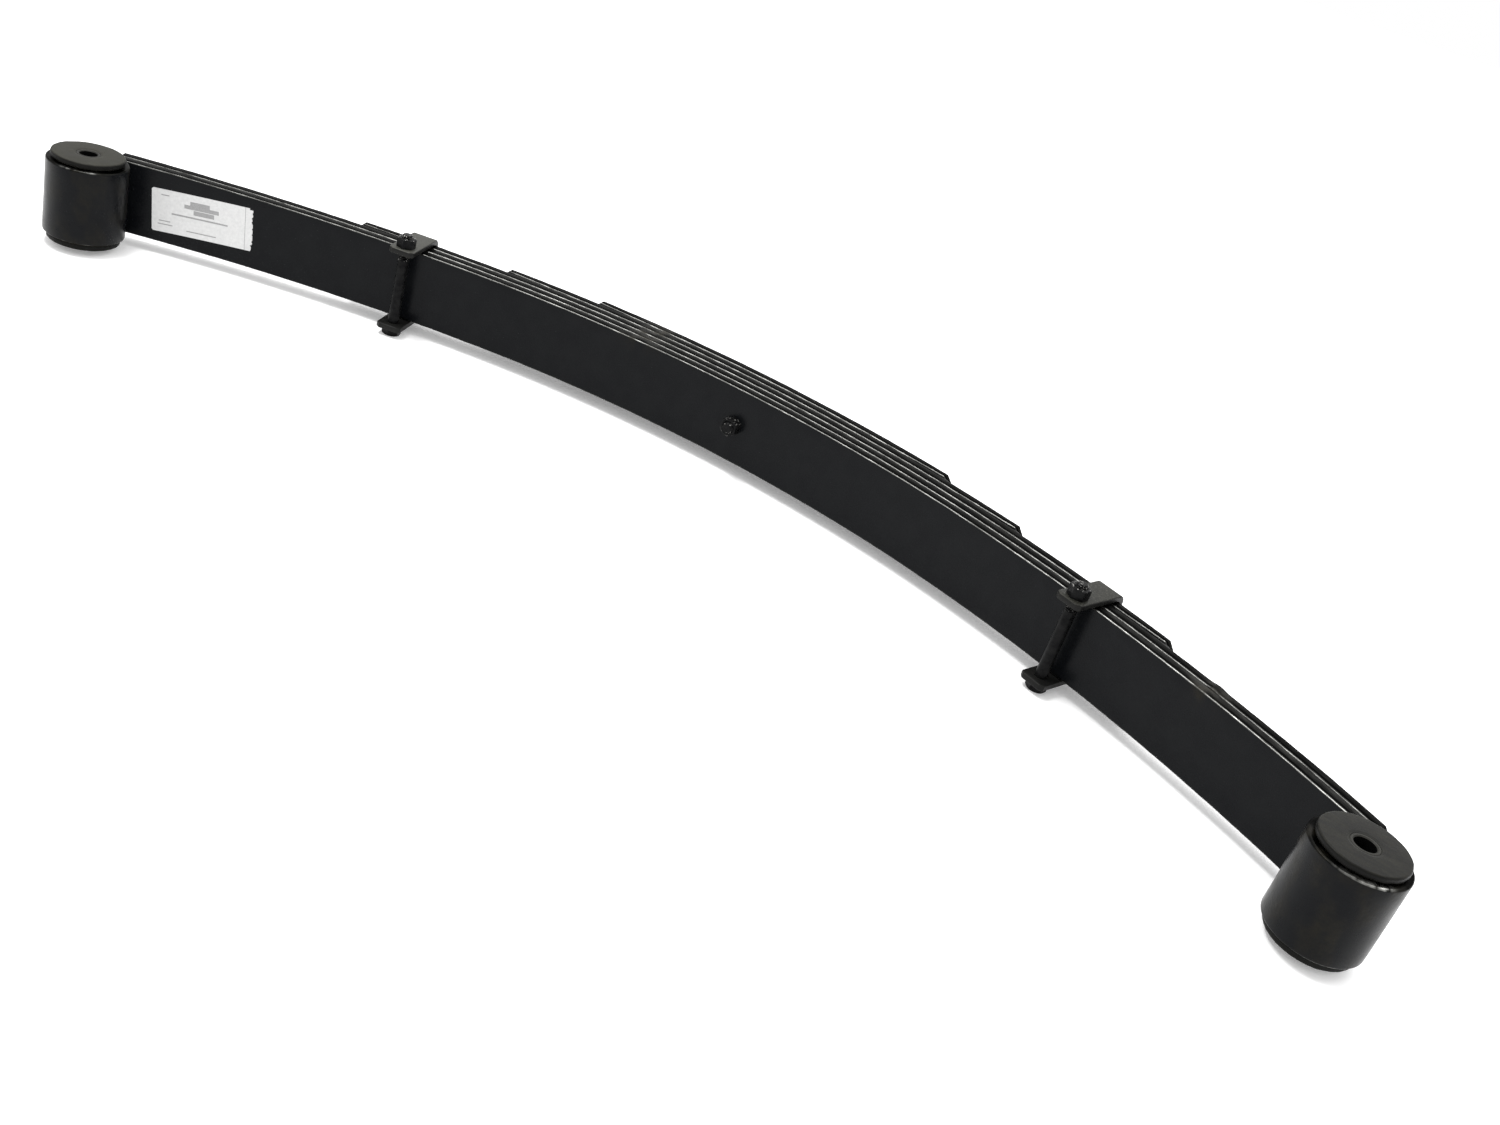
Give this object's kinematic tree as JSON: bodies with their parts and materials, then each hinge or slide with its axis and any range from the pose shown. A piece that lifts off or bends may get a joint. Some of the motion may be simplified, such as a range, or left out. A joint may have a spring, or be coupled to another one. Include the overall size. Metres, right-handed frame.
{
  "type": "leaf spring",
  "caption": "Arched truck leaf spring lying on its edge, with rolled main-leaf eyes in rubber bushings, tip pads under the short leaves and bolted rebound clips.",
  "frame": {"origin": "where the centre bolt's head meets the back of the shortest leaf, on the middle plane of the leaves' width", "axes": "+X along the spring towards the rear eye; +Y along the centre bolt, from the concave to the convex side; +Z across the leaves' width, upwards as the spring lies on its edge"},
  "size_m": [1.1678, 0.2804, 0.0914],
  "materials": {
    "spring_steel": "satin black paint over rolled, shot-peened spring steel",
    "fastener_steel": "black oxide, half dull",
    "clip_steel": "satin greenish-grey phosphate",
    "bushing_rubber": "matte, dusty moulded rubber",
    "pad_plastic": "matte moulded",
    "sleeve_steel": "dark phosphated tube",
    "label_paper": "plain white self-adhesive paper"
  },
  "bodies": {
    "pack": {"main_leaf": "spring_steel", "second_leaf": "spring_steel", "third_leaf": "spring_steel", "fourth_leaf": "spring_steel", "fifth_leaf": "spring_steel", "third_leaf_front_pad": "pad_plastic", "fourth_leaf_front_pad": "pad_plastic", "fifth_leaf_front_pad": "pad_plastic", "third_leaf_rear_pad": "pad_plastic", "fourth_leaf_rear_pad": "pad_plastic", "fifth_leaf_rear_pad": "pad_plastic", "centre_bolt": "fastener_steel", "centre_nut": "fastener_steel", "label": "label_paper"},
    "front_arm": {"front_clip_strap": "clip_steel", "front_clip_bolt": "fastener_steel", "front_clip_nut": "fastener_steel", "front_clip_rivet": "clip_steel"},
    "front_eye": {"front_bushing_upper": "bushing_rubber", "front_bushing_lower": "bushing_rubber"},
    "front_sleeve": {"front_sleeve": "sleeve_steel"},
    "rear_arm": {"rear_clip_strap": "clip_steel", "rear_clip_bolt": "fastener_steel", "rear_clip_nut": "fastener_steel", "rear_clip_rivet": "clip_steel"},
    "rear_eye": {"rear_bushing_upper": "bushing_rubber", "rear_bushing_lower": "bushing_rubber"},
    "rear_sleeve": {"rear_sleeve": "sleeve_steel"}
  },
  "joints": [
    {"name": "front_flex", "type": "hinge", "parent": "pack", "child": "front_arm", "pos_m": [-0.16765, -0.04695, 0], "axis": [0, 0, -1], "range_deg": [-3, 16], "stiffness_Nm_per_rad": 8000, "deforming": ["main_leaf", "second_leaf", "third_leaf", "fourth_leaf", "fifth_leaf", "third_leaf_front_pad", "fourth_leaf_front_pad", "fifth_leaf_front_pad", "label"]},
    {"name": "front_tip_flex", "type": "hinge", "parent": "front_arm", "child": "front_eye", "pos_m": [-0.43634, -0.14281, 0], "axis": [0, 0, -1], "range_deg": [-2, 10.5], "stiffness_Nm_per_rad": 1000, "deforming": ["main_leaf", "second_leaf", "third_leaf", "third_leaf_front_pad", "label"]},
    {"name": "front_sleeve_twist", "type": "hinge", "parent": "front_eye", "child": "front_sleeve", "pos_m": [-0.55149, -0.23998, 0], "axis": [0, 0, 1], "range_deg": [-30, 30], "stiffness_Nm_per_rad": 40},
    {"name": "rear_flex", "type": "hinge", "parent": "pack", "child": "rear_arm", "pos_m": [0.16765, -0.04695, 0], "axis": [0, 0, 1], "range_deg": [-3, 16], "stiffness_Nm_per_rad": 8000, "deforming": ["main_leaf", "second_leaf", "third_leaf", "fourth_leaf", "fifth_leaf", "third_leaf_rear_pad", "fourth_leaf_rear_pad", "fifth_leaf_rear_pad"]},
    {"name": "rear_tip_flex", "type": "hinge", "parent": "rear_arm", "child": "rear_eye", "pos_m": [0.43634, -0.14281, 0], "axis": [0, 0, 1], "range_deg": [-2, 10.5], "stiffness_Nm_per_rad": 1000, "deforming": ["main_leaf", "second_leaf", "third_leaf", "third_leaf_rear_pad"]},
    {"name": "rear_sleeve_twist", "type": "hinge", "parent": "rear_eye", "child": "rear_sleeve", "pos_m": [0.55149, -0.23998, 0], "axis": [0, 0, 1], "range_deg": [-30, 30], "stiffness_Nm_per_rad": 40}
  ],
  "couplings": [
    {"joint": "front_tip_flex", "follows": "front_flex", "ratio": 0.65},
    {"joint": "rear_tip_flex", "follows": "rear_flex", "ratio": 0.65}
  ]
}
